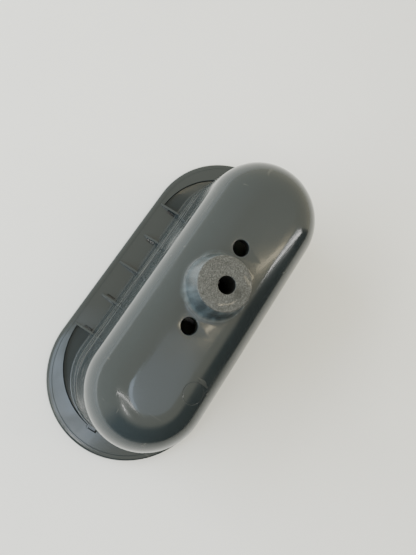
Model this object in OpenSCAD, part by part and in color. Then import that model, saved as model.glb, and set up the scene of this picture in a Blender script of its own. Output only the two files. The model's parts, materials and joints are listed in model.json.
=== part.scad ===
/* [Cup] */
// Length between the two end arcs' centres of the cup
cup_straight = 72; // [60:1:90]
// Width of the cup where its walls would meet the closed face
cup_w = 40; // [38:0.5:44]
// Height of the closed face above the wall that the foot sits on
cup_h = 56; // [54:0.5:60]
// Radius that rounds the closed face into the walls
top_round = 14; // [10:0.5:16]
// Draft of the cup's walls, wider towards the mouth
draft_deg = 3.3; // [2.5:0.1:3.5]
// Thickness of the cup's walls
wall_t = 2.5; // [2:0.1:3]
// Thickness of the closed face
face_t = 3; // [2.5:0.1:4]

/* [Flange] */
// Length between the two end arcs' centres of the flange
flange_straight = 69; // [66:1:72]
// Width of the flange
flange_w = 66.5; // [65:0.5:72]
// Thickness of the flange's border
flange_t = 4; // [3.5:0.1:5]
// Radius on the flange's upper outer edge
flange_round = 1; // [0.5:0.1:1.5]
// Depth of the pocket round each end, between the border and the cup
pocket_depth = 1.4; // [1:0.1:1.8]
// Length between the two end arcs' centres of the pockets' outline
pocket_straight = 60; // [60:0.5:61]
// Width of the pockets' outline
pocket_w = 59; // [58.5:0.5:60]
// Spacing of the gusset ribs along each side
rib_pitch = 15; // [12:0.5:16]
// Thickness of a gusset rib
rib_t = 1; // [0.8:0.1:1.4]
// Height of a gusset rib at the cup, above the border
rib_rise = 3; // [1:0.1:5]
// Height of a gusset rib at its outer end, above the border
rib_low = 0.3; // [0.2:0.1:0.6]
// Width of the relief slot beside a rib
slot_w = 1; // [0.6:0.1:1.2]

/* [Boss and holes] */
// Distance of the boss from the middle, along the cup
boss_x = 2.5; // [0:0.5:4]
// Distance of the boss from the middle, across the cup
boss_y = 2.5; // [0:0.5:3]
// Distance of the lever bore and the stem from the middle, across the cup
axis_y = 1.8; // [1.6:0.1:2.5]
// Height of the boss above the closed face
boss_h = 9.7; // [7:0.1:12]
// Radius of the boss at the closed face
boss_base_r = 10.3; // [10:0.1:11]
// Radius of the boss at its top
boss_top_r = 8.9; // [8:0.1:9.5]
// Radius of the lever bore through the boss
bore_r = 2.9; // [2.6:0.05:2.95]
// Distance between the two handle screw holes
handle_pitch = 31.3; // [29:0.1:33]
// Radius of each handle screw hole
handle_hole_r = 2.8; // [2.5:0.1:3]

/* [Suction mechanism] */
// Travel of the plate and stem away from the wall
travel = 4; // [3:0.5:4]
// Radius of the draw stem
stem_r = 3; // [3:0.05:3.2]
// Radial running clearance of the stem in its bush
running_gap = 0.05; // [0.03:0.01:0.1]
// Thickness of the rubber diaphragm
rubber_t = 1.4; // [1.2:0.1:1.6]
// Mean radius of the return spring's coil
spring_r = 8.9; // [8.7:0.1:9.2]
// Radius of the return spring's wire
wire_r = 0.8; // [0.6:0.1:0.9]
// Number of turns in the return spring
spring_turns = 7; // [5:1:8]

/* [Hidden] */

$fn = 96;
eps = 0.01;
fit_gap = 0.02;

// Cup and flange, from half widths and heights
cup_s = cup_straight / 2;
cup_r = cup_w / 2;
draft = tan(draft_deg);
inner_h = cup_h - face_t;
flange_s = flange_straight / 2;
flange_r = flange_w / 2;
pocket_s = pocket_straight / 2;
pocket_r = pocket_w / 2;
pocket_x = 2 * rib_pitch + rib_t / 2;
seal_proud = 0.5;
border_z = seal_proud + flange_t;
floor_z = border_z - pocket_depth;
foot_r = cup_r + draft * (cup_h - floor_z);
bead_w = 0.6;
bead_h = 0.6;
long_rib_y = pocket_r + 1.5;
short_rib_y = pocket_r - 0.5;
end_x = cup_s + foot_r + bead_w + slot_w;
end_rib_y = 3.6;
end_rib_h = pocket_depth + 0.4;
slot_l = 3.4;
slot_step = 0.9;

// Rubber seal in its groove
seal_in_r = 27.4;
seal_out_r = 31;
seal_top_z = 1.9;
seal_lip_w = 1.2;

// Diaphragm and the frame that clamps its edge
frame_out_r = 20.1;
frame_in_r = 14.2;
frame_low_z = 1.6;
frame_t = 2.4;
clamp_z = frame_low_z + frame_t;
ledge_z = clamp_z + rubber_t;
dome_rise = 3;
dome_foot_r = frame_in_r - 0.4;
dome_top_r = 11.6;
screw_xs = [-34, -12, 12, 34];
screw_y = 17.3;
screw_post_r = 3.2;
screw_post_h = 14;
screw_r = 1.5;
screw_head_r = 2.6;
screw_head_t = 1.4;
screw_l = 12;
driver_r = 1.1;
driver_depth = 0.9;

// Plate, stem and what guides them
plate_z = ledge_z + dome_rise;
plate_t = 3;
plate_r = 11;
plate_rib_h = 2.4;
hub_r = 6.8;
hub_h = 5.6;
head_r = 6;
head_t = 1.6;
socket_r = 8.6;
bush_r = 6.5;
bush_h = 9;
bush_z = 37;
seat_t = 1;
seat_r = 10.6;
seat_lip = 1.6;
clip_t = 0.9;
clip_r = 5;
clip_groove_r = 2.6;
clip_z = bush_z + bush_h;
stem_top_z = inner_h - travel - 0.5;
stem_bore_r = 1.5;
stem_bore_l = 10;
nut_flats = 10;
nut_h = 4.8;
washer_t = 1;
washer_r = 6.4;
washer_z = plate_z + plate_t + hub_h;
nut_z = washer_z + washer_t;
spring_low_z = plate_z + plate_t;
spring_high_z = bush_z - seat_t;

// A stadium of half straight s and end radius r, from z0 to z1
module pill(s, r, z0, z1) {
    translate([0, 0, z0]) linear_extrude(z1 - z0) {
        square([2 * s, 2 * r], center = true);
        translate([s, 0]) circle(r);
        translate([-s, 0]) circle(r);
    }
}

// Sweeps a half section, drawn as (distance out, height), round a stadium
module swept_pill(s) {
    translate([s, 0, 0]) rotate([0, 0, -90]) rotate_extrude(angle = 180) children();
    translate([-s, 0, 0]) rotate([0, 0, 90]) rotate_extrude(angle = 180) children();
    translate([-s, 0, 0]) rotate([90, 0, 90]) linear_extrude(2 * s) {
        children();
        mirror([1, 0]) children();
    }
}

// Half section of a drafted cup of top half width r and height h, with a rounded top
module cup_section(r, h, rounding, low_z) {
    arc_x = r + draft * rounding - rounding / cos(draft_deg);
    wall_x = arc_x + rounding * cos(draft_deg);
    wall_z = h - rounding + rounding * sin(draft_deg);
    polygon([
        [0, low_z],
        [r + draft * (h - low_z), low_z],
        [wall_x, wall_z],
        [arc_x, h - rounding],
        [arc_x, h],
        [0, h]
    ]);
    intersection() {
        translate([arc_x, h - rounding]) circle(rounding);
        translate([0, h - rounding]) square([arc_x + rounding, rounding]);
    }
}

// Half section of the flange's border, with its upper outer edge rounded
module border_section() {
    translate([0, seal_proud]) square([flange_r - flange_round, flange_t]);
    translate([0, seal_proud]) square([flange_r, flange_t - flange_round]);
    translate([flange_r - flange_round, border_z - flange_round]) circle(flange_round);
}

// One gusset rib from out_y to the cup, standing at x
module gusset(x, out_y) {
    translate([x - rib_t / 2, 0, 0]) rotate([90, 0, 90]) linear_extrude(rib_t) polygon([
        [foot_r - wall_t, floor_z - eps],
        [out_y, floor_z - eps],
        [out_y, border_z + rib_low],
        [foot_r, border_z + rib_rise],
        [foot_r - wall_t, border_z + rib_rise]
    ]);
}

// All gusset ribs, long and short in turn, and one at each end
module gussets() {
    for (side = [0, 1]) mirror([0, side, 0]) for (i = [-2 : 2])
        gusset(i * rib_pitch, i % 2 == 0 ? long_rib_y : short_rib_y);
    for (turn = [0, 180]) rotate([0, 0, turn])
        translate([-end_x, end_rib_y - rib_t / 2, floor_z - eps])
            cube([slot_w + bead_w + wall_t, rib_t, end_rib_h]);
}

// Pockets in the flange round each end, between the border and the cup
module end_pockets() {
    difference() {
        pill(pocket_s, pocket_r, floor_z, border_z + eps);
        translate([-pocket_x, -flange_r, floor_z - eps])
            cube([2 * pocket_x, 2 * flange_r, pocket_depth + 1]);
    }
}

// Blind relief slots beside the ribs, on the side towards the middle, and beside each end rib
module relief_slots() {
    for (side = [0, 1]) mirror([0, side, 0]) for (i = [-2, -1, 1, 2])
        translate([i * rib_pitch - sign(i) * (rib_t + slot_w) / 2 - slot_w / 2, foot_r + bead_w, border_z])
            translate([0, 0, -abs(i) * slot_step]) cube([slot_w, slot_l, abs(i) * slot_step + 1]);
    for (turn = [0, 180]) rotate([0, 0, turn])
        translate([-end_x, -rib_t / 2, floor_z - slot_step])
            cube([slot_w, end_rib_y, slot_step + pocket_depth + 1]);
}

// The conical boss on the closed face
module boss() {
    translate([boss_x, boss_y, cup_h - face_t / 2])
        cylinder(h = face_t / 2 + eps, r = boss_base_r);
    translate([boss_x, boss_y, cup_h])
        cylinder(h = boss_h, r1 = boss_base_r, r2 = boss_top_r);
}

// Posts inside the cup that take the clamp frame's screws
module screw_posts() {
    for (x = screw_xs) for (y = [-screw_y, screw_y])
        translate([x, y, ledge_z]) cylinder(h = screw_post_h, r = screw_post_r);
}

// Moulded shell: cup, flange, ribs, boss and the inner socket that holds the bush
module housing() {
    color([0.27, 0.30, 0.32]) difference() {
        union() {
            difference() {
                union() {
                    difference() {
                        swept_pill(flange_s) border_section();
                        end_pockets();
                    }
                    swept_pill(cup_s) cup_section(cup_r, cup_h, top_round, seal_proud);
                    pill(cup_s, foot_r + bead_w, floor_z - eps, border_z + bead_h);
                    gussets();
                    boss();
                }
                swept_pill(cup_s) cup_section(cup_r - wall_t, inner_h, top_round - wall_t, 0);
            }
            screw_posts();
            translate([boss_x, axis_y, bush_z])
                cylinder(h = inner_h - bush_z + eps, r = socket_r);
        }
        relief_slots();
        translate([boss_x, axis_y, bush_z - eps])
            cylinder(h = inner_h - bush_z + eps, r = bush_r);
        translate([boss_x, axis_y, inner_h - eps])
            cylinder(h = face_t + boss_h + 1, r = bore_r);
        for (side = [-1, 1])
            translate([boss_x + side * handle_pitch / 2, boss_y, inner_h - 1])
                cylinder(h = face_t + 2, r = handle_hole_r);
        for (x = screw_xs) for (y = [-screw_y, screw_y])
            translate([x, y, ledge_z - eps]) cylinder(h = screw_l, r = screw_r);
        difference() {
            pill(flange_s, seal_out_r, 0, seal_top_z);
            pill(flange_s, seal_in_r, -eps, seal_top_z + eps);
        }
    }
}

// Soft ring in the flange's groove that meets the wall
module rim_seal() {
    color([0.10, 0.10, 0.11]) difference() {
        pill(flange_s, seal_out_r, 0, seal_top_z);
        pill(flange_s, seal_in_r, -eps, seal_top_z + eps);
        difference() {
            pill(flange_s, seal_out_r - seal_lip_w, -eps, seal_proud);
            pill(flange_s, seal_in_r + seal_lip_w, -2 * eps, seal_proud + eps);
        }
    }
}

// Rubber membrane: a flat clamped edge, a sloping flank and a raised flat middle
module suction_diaphragm() {
    color([0.12, 0.12, 0.13]) difference() {
        swept_pill(cup_s) polygon([
            [0, clamp_z + dome_rise],
            [dome_top_r, clamp_z + dome_rise],
            [dome_foot_r, clamp_z],
            [frame_out_r, clamp_z],
            [frame_out_r, ledge_z],
            [dome_foot_r, ledge_z],
            [dome_top_r, plate_z],
            [0, plate_z]
        ]);
        for (x = screw_xs) for (y = [-screw_y, screw_y])
            translate([x, y, clamp_z - 1]) cylinder(h = rubber_t + 2, r = screw_r + fit_gap);
    }
}

// Rigid ring that clamps the diaphragm's edge against the screw posts
module clamp_frame() {
    color([0.20, 0.21, 0.23]) difference() {
        pill(cup_s, frame_out_r, frame_low_z, clamp_z);
        pill(cup_s, frame_in_r, frame_low_z - eps, clamp_z + eps);
        for (x = screw_xs) for (y = [-screw_y, screw_y]) translate([x, y, 0]) {
            translate([0, 0, frame_low_z - eps]) cylinder(h = frame_t + 1, r = screw_r + fit_gap);
            translate([0, 0, frame_low_z - eps])
                cylinder(h = screw_head_t + fit_gap, r = screw_head_r + fit_gap);
        }
    }
}

// Self-tapping screws, one at each post
module clamp_screws() {
    color([0.72, 0.73, 0.74]) for (x = screw_xs) for (y = [-screw_y, screw_y])
        translate([x, y, frame_low_z]) difference() {
            union() {
                cylinder(h = screw_head_t, r = screw_head_r);
                cylinder(h = screw_l, r = screw_r - fit_gap);
            }
            translate([0, 0, -eps]) cylinder(h = driver_depth, r = driver_r, $fn = 6);
        }
}

// Rigid plate behind the diaphragm, with a hub for the stem and stiffening ribs
module pressure_plate() {
    color([0.78, 0.78, 0.76]) difference() {
        union() {
            pill(cup_s - 1, plate_r, plate_z, plate_z + plate_t);
            translate([boss_x, axis_y, plate_z]) cylinder(h = plate_t + hub_h, r = hub_r);
            for (side = [-1, 1]) translate([boss_x + side * (spring_r + wire_r + 1), -rib_t, plate_z])
                mirror([side < 0 ? 1 : 0, 0, 0]) cube([20, 2 * rib_t, plate_t + plate_rib_h]);
        }
        translate([boss_x, axis_y, plate_z - eps]) cylinder(h = head_t + fit_gap, r = head_r + fit_gap);
        translate([boss_x, axis_y, plate_z]) cylinder(h = plate_t + hub_h + 1, r = stem_r + fit_gap);
    }
}

// Steel stem: flat head under the plate, clip groove and a tapped top end
module draw_stem() {
    color([0.13, 0.13, 0.14]) translate([boss_x, axis_y, 0]) difference() {
        union() {
            translate([0, 0, plate_z]) cylinder(h = head_t, r = head_r);
            translate([0, 0, plate_z]) cylinder(h = stem_top_z - plate_z, r = stem_r);
        }
        translate([0, 0, clip_z]) difference() {
            cylinder(h = clip_t, r = stem_r + 1);
            translate([0, 0, -eps]) cylinder(h = clip_t + 2 * eps, r = clip_groove_r);
        }
        translate([0, 0, stem_top_z - stem_bore_l]) cylinder(h = stem_bore_l + eps, r = stem_bore_r);
    }
}

// Flat washer under the nut
module stem_washer() {
    color([0.70, 0.71, 0.72]) translate([boss_x, axis_y, washer_z]) difference() {
        cylinder(h = washer_t, r = washer_r);
        translate([0, 0, -eps]) cylinder(h = washer_t + 1, r = stem_r + fit_gap);
    }
}

// Hexagon nut that holds the plate on the stem
module stem_nut() {
    color([0.70, 0.71, 0.72]) translate([boss_x, axis_y, nut_z]) difference() {
        cylinder(h = nut_h, r = nut_flats / 2 / cos(30), $fn = 6);
        translate([0, 0, -eps]) cylinder(h = nut_h + 1, r = stem_r + fit_gap);
    }
}

// Open ring in the stem's groove that stops the stem on the bush
module stem_circlip() {
    color([0.35, 0.35, 0.36]) translate([boss_x, axis_y, clip_z]) difference() {
        cylinder(h = clip_t - fit_gap, r = clip_r);
        translate([0, 0, -eps]) cylinder(h = clip_t + 1, r = clip_groove_r + fit_gap);
        translate([0, -clip_groove_r * 0.6, -eps]) cube([clip_r + 1, clip_groove_r * 1.2, clip_t + 1]);
    }
}

// Point of the spring wire's ring k, at angle a round the wire
function spring_point(k, a, rings, low, high) =
    let (turn = 360 * spring_turns * k / rings)
    let (out = spring_r + wire_r * cos(a))
    [out * cos(turn), out * sin(turn), low + (high - low) * k / rings + wire_r * sin(a)];

// Compression spring from the plate to its seat
module return_spring() {
    rings = spring_turns * 18;
    sides = 8;
    low = spring_low_z + wire_r + 0.1;
    high = spring_high_z - wire_r - 0.1;
    points = [for (k = [0 : rings]) for (j = [0 : sides - 1])
        spring_point(k, -360 * j / sides, rings, low, high)];
    walls = [for (k = [0 : rings - 1]) for (j = [0 : sides - 1])
        [k * sides + j, k * sides + (j + 1) % sides,
        (k + 1) * sides + (j + 1) % sides, (k + 1) * sides + j]];
    first = [[for (j = [sides - 1 : -1 : 0]) j]];
    last = [[for (j = [0 : sides - 1]) rings * sides + j]];
    color([0.66, 0.67, 0.68]) translate([boss_x, axis_y, 0])
        polyhedron(points = points, faces = concat(walls, first, last), convexity = 8);
}

// Dished washer between the spring and the bush's socket
module spring_seat() {
    color([0.55, 0.56, 0.57]) translate([boss_x, axis_y, 0]) difference() {
        union() {
            translate([0, 0, bush_z - seat_t]) cylinder(h = seat_t, r = seat_r + seat_t);
            translate([0, 0, bush_z - seat_t - seat_lip])
                cylinder(h = seat_lip + eps, r = seat_r + seat_t);
        }
        translate([0, 0, bush_z - seat_t - seat_lip - eps]) cylinder(h = seat_lip + eps, r = seat_r);
        translate([0, 0, bush_z - seat_t - 1]) cylinder(h = seat_t + 2, r = stem_r + 0.4);
    }
}

// Plain bush in the housing's socket that guides the stem
module stem_bush() {
    color([0.88, 0.88, 0.86]) translate([boss_x, axis_y, bush_z]) difference() {
        cylinder(h = bush_h, r = bush_r - fit_gap);
        translate([0, 0, -eps]) cylinder(h = bush_h + 1, r = stem_r + running_gap);
    }
}

housing();
rim_seal();
suction_diaphragm();
clamp_frame();
clamp_screws();
pressure_plate();
draw_stem();
stem_washer();
stem_nut();
stem_circlip();
return_spring();
spring_seat();
stem_bush();
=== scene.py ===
"""Looks of the moulded vacuum foot of a grab bar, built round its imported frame.

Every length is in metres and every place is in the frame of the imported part: +X along the foot,
+Z away from the wall that it sits on.
"""

import json
import logging
import math
from collections.abc import Callable, Iterator, Sequence
from contextlib import contextmanager
from dataclasses import dataclass
from enum import Enum
from typing import Any, NamedTuple

import bmesh
import bpy
from mathutils import Matrix, Vector

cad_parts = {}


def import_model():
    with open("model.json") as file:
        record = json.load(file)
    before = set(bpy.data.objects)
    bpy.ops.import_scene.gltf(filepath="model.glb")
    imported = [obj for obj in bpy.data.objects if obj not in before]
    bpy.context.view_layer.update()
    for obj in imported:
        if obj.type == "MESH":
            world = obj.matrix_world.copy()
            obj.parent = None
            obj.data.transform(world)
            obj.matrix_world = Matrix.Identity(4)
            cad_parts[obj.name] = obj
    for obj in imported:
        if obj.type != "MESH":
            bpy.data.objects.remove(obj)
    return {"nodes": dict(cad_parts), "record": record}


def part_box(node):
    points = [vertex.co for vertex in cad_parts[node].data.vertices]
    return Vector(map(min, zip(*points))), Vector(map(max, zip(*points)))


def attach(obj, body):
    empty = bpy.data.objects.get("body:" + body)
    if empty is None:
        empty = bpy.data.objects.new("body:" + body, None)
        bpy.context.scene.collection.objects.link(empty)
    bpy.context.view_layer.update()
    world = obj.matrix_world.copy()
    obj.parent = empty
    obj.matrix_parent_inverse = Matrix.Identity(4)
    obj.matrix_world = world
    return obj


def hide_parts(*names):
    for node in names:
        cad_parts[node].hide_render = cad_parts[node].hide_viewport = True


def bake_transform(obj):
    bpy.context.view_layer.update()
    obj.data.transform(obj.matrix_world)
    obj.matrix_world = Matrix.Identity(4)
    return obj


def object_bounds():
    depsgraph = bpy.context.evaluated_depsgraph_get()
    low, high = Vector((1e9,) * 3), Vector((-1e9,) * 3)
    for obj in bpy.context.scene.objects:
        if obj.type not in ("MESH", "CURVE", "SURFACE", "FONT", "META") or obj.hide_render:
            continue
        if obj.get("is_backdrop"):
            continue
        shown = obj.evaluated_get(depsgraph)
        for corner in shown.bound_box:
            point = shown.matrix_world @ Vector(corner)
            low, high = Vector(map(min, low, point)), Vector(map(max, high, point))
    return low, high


MM = 0.001
WELD = 0.002 * MM
HALF_TURN = math.pi
FULL_TURN = 2 * math.pi
LOG = logging.getLogger("vacuum_foot")


class Corner(NamedTuple):
    """A corner of a section: distance out, height and the radius that rounds it."""

    out: float
    height: float
    radius: float = 0.0


class Join(Enum):
    """Ways in which one solid is joined to another."""

    ADD = "UNION"
    CUT = "DIFFERENCE"


# ---------------------------------------------------------------- modelling by hand


def use(piece: bpy.types.Object) -> None:
    """Makes a piece the only one selected, and the active one.

    Args:
        piece: The object to select.
    """
    bpy.ops.object.select_all(action="DESELECT")
    piece.select_set(True)
    bpy.context.view_layer.objects.active = piece


@contextmanager
def editing(piece: bpy.types.Object) -> Iterator[None]:
    """Holds a piece in edit mode, with nothing of it selected at the start.

    Args:
        piece: The mesh object to edit.
    """
    use(piece)
    bpy.ops.object.mode_set(mode="EDIT")
    bpy.ops.mesh.select_mode(type="VERT")
    bpy.ops.mesh.select_all(action="DESELECT")
    yield
    bpy.ops.object.mode_set(mode="OBJECT")


def pick(piece: bpy.types.Object, wanted: Callable[[Vector], bool]) -> None:
    """Selects the vertices of a piece in edit mode whose place is wanted.

    Args:
        piece: The mesh object in edit mode.
        wanted: Says of a place whether its vertex is selected.
    """
    shape = bmesh.from_edit_mesh(piece.data)
    for vertex in shape.verts:
        vertex.select = wanted(vertex.co)
    shape.select_flush(True)
    shape.select_flush(False)
    bmesh.update_edit_mesh(piece.data)


def bake_place(piece: bpy.types.Object) -> None:
    """Moves a piece's place, turn and size into its mesh."""
    use(piece)
    bpy.ops.object.transform_apply(location=True, rotation=True, scale=True)


def close_up(piece: bpy.types.Object) -> None:
    """Merges doubled vertices and points all faces outwards.

    Args:
        piece: The mesh object to clean.
    """
    with editing(piece):
        bpy.ops.mesh.select_all(action="SELECT")
        bpy.ops.mesh.remove_doubles(threshold=WELD)
        bpy.ops.mesh.normals_make_consistent(inside=False)


def apply_modifier(piece: bpy.types.Object, kind: str, **settings: Any) -> None:
    """Adds a modifier to a piece and applies it.

    Args:
        piece: The mesh object.
        kind: The modifier's type, as Blender names it.
        **settings: Values for the modifier's fields.
    """
    modifier = piece.modifiers.new(kind.lower(), kind)
    for field_name, value in settings.items():
        setattr(modifier, field_name, value)
    use(piece)
    bpy.ops.object.modifier_apply(modifier=modifier.name)


def combine(piece: bpy.types.Object, other: bpy.types.Object, how: Join) -> None:
    """Adds another solid to a piece or cuts it away, and removes the other.

    Args:
        piece: The solid that is kept.
        other: The solid that is used up.
        how: Whether the other is added or cut away.
    """
    apply_modifier(piece, "BOOLEAN", object=other, operation=how.value, solver="EXACT")
    bpy.data.objects.remove(other)


def smooth(piece: bpy.types.Object, degrees: float = 32.0) -> None:
    """Shades a piece smooth, but for edges sharper than an angle."""
    use(piece)
    bpy.ops.object.shade_smooth_by_angle(angle=math.radians(degrees))


def merge_pieces(name: str, pieces: Sequence[bpy.types.Object]) -> bpy.types.Object:
    """Joins separate solids into one object.

    Args:
        name: Name of the joined object.
        pieces: The objects to join.

    Returns:
        The joined object.
    """
    bpy.ops.object.select_all(action="DESELECT")
    for piece in pieces:
        piece.select_set(True)
    bpy.context.view_layer.objects.active = pieces[0]
    bpy.ops.object.join()
    joined = bpy.context.object
    joined.name = name
    return joined


def stamp(name: str, pattern: bpy.types.Object, places: Sequence[Matrix]) -> bpy.types.Object:
    """Copies a pattern to several places, and joins the copies.

    Args:
        name: Name of the joined object.
        pattern: The object to copy, which is used up.
        places: Where each copy goes.

    Returns:
        The joined copies.
    """
    copies = []
    for place in places:
        copy = pattern.copy()
        copy.data = pattern.data.copy()
        copy.data.transform(place)
        bpy.context.scene.collection.objects.link(copy)
        copies.append(copy)
    bpy.data.objects.remove(pattern)
    return merge_pieces(name, copies)


def rounded(corners: Sequence[Corner], step: float = 15.0, closed: bool = False) -> list[Vector]:
    """Turns corners into a line with arcs, drawn as (distance out, height).

    Args:
        corners: The corners in order.
        step: Largest angle of one piece of an arc, in degrees.
        closed: Whether the last corner joins the first.

    Returns:
        The points of the line.
    """
    line: list[Vector] = []
    count = len(corners)
    for index, corner in enumerate(corners):
        here = Vector((corner.out, corner.height))
        if corner.radius == 0 or (not closed and index in (0, count - 1)):
            line.append(here)
            continue
        before = corners[index - 1]
        after = corners[(index + 1) % count]
        back = (Vector((before.out, before.height)) - here).normalized()
        ahead = (Vector((after.out, after.height)) - here).normalized()
        half = back.angle(ahead) / 2
        centre = here + (back + ahead).normalized() * corner.radius / math.sin(half)
        first = here + back * corner.radius / math.tan(half) - centre
        sweep = first.angle_signed(here + ahead * corner.radius / math.tan(half) - centre)
        pieces = max(2, math.ceil(abs(math.degrees(sweep)) / step))
        for k in range(pieces + 1):
            turn = -sweep * k / pieces
            cos, sin = math.cos(turn), math.sin(turn)
            line.append(centre + Vector((first.x * cos - first.y * sin, first.x * sin + first.y * cos)))
    return line


def draw_line(name: str, points: Sequence[Vector], closed: bool) -> bpy.types.Object:
    """Draws a chain of edges, by extruding one vertex from point to point.

    Args:
        name: Name of the new object.
        points: The places in order.
        closed: Whether an edge joins the last point to the first.

    Returns:
        The object that holds the chain.
    """
    bpy.ops.object.select_all(action="DESELECT")
    bpy.ops.mesh.primitive_plane_add(size=MM, location=points[0])
    piece = bpy.context.object
    piece.name = name
    piece.data.name = name
    bake_place(piece)
    with editing(piece):
        bpy.ops.mesh.select_all(action="SELECT")
        bpy.ops.mesh.merge(type="CENTER")
        for start, end in zip(points, points[1:]):
            bpy.ops.mesh.extrude_region_move(TRANSFORM_OT_translate={"value": end - start})
        if closed:
            ends = (points[0], points[-1])
            pick(piece, lambda place: any((place - end).length < WELD for end in ends))
            bpy.ops.mesh.edge_face_add()
    return piece


def lathe(
    name: str, section: Sequence[Vector], centre: Vector, steps: int, closed: bool = False
) -> bpy.types.Object:
    """Spins a section all the way round an upright axis.

    Args:
        name: Name of the new object.
        section: Points as (distance out, height).
        centre: A point on the axis.
        steps: Number of pieces in the turn.
        closed: Whether the section is a closed loop, clear of the axis.

    Returns:
        The solid.
    """
    points = [Vector((centre.x + point.x, centre.y, point.y)) for point in section]
    piece = draw_line(name, points, closed)
    with editing(piece):
        bpy.ops.mesh.select_all(action="SELECT")
        bpy.ops.mesh.spin(steps=steps, angle=FULL_TURN, center=centre, axis=(0, 0, 1))
    close_up(piece)
    return piece


def block(name: str, low: Vector, high: Vector, bevel: float) -> bpy.types.Object:
    """Makes a box between two corners, with rounded edges.

    Args:
        name: Name of the new object.
        low: Its lowest corner.
        high: Its highest corner.
        bevel: Radius of its edges.

    Returns:
        The box.
    """
    bpy.ops.object.select_all(action="DESELECT")
    bpy.ops.mesh.primitive_cube_add(size=1, location=(low + high) / 2)
    piece = bpy.context.object
    piece.name = name
    piece.scale = high - low
    bake_place(piece)
    with editing(piece):
        bpy.ops.mesh.select_all(action="SELECT")
        bpy.ops.mesh.bevel(offset=bevel, segments=2, affect="EDGES")
    return piece


@dataclass
class Stadium:
    """A plan of two half circles and straight sides, round which a section is swept.

    Attributes:
        half_straight: Half the length of the straight sides.
        turns: Pieces in each half circle.
        runs: Pieces in half a straight side.
    """

    half_straight: float
    turns: int = 56
    runs: int = 14

    def sweep(
        self,
        name: str,
        section: Sequence[Vector],
        closed: bool = False,
        shifted: Callable[[float, float], bool] | None = None,
        shift: float = 0.0,
    ) -> bpy.types.Object:
        """Sweeps a section round the plan.

        Args:
            name: Name of the new object.
            section: Points as (distance out, height).
            closed: Whether the section is a loop, clear of the middle.
            shifted: Says of (distance out, height) whether the end arc's centre is moved there.
            shift: How far towards the middle those arcs' centres move.

        Returns:
            The solid.
        """
        centre = Vector((self.half_straight, 0, 0))
        piece = draw_line(name, [centre + Vector((0, point.x, point.y)) for point in section], closed)
        with editing(piece):
            bpy.ops.mesh.select_all(action="SELECT")
            bpy.ops.mesh.spin(steps=self.turns, angle=HALF_TURN, center=centre, axis=(0, 0, 1))
            bpy.ops.mesh.select_all(action="SELECT")
            bpy.ops.mesh.remove_doubles(threshold=WELD)
            pick(piece, lambda place: abs(place.x - self.half_straight) < WELD)
            step = Vector((-self.half_straight / self.runs, 0, 0))
            for _ in range(self.runs):
                bpy.ops.mesh.extrude_region_move(TRANSFORM_OT_translate={"value": step})
            if shifted is not None:
                edge = self.half_straight - WELD
                pick(piece, lambda place: place.x > edge and shifted((place - centre).xy.length, place.z))
                bpy.ops.transform.translate(value=(-shift, 0, 0))
        apply_modifier(piece, "MIRROR", use_axis=(True, False, False), merge_threshold=WELD)
        close_up(piece)
        return piece


# ---------------------------------------------------------------- finishes


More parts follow.
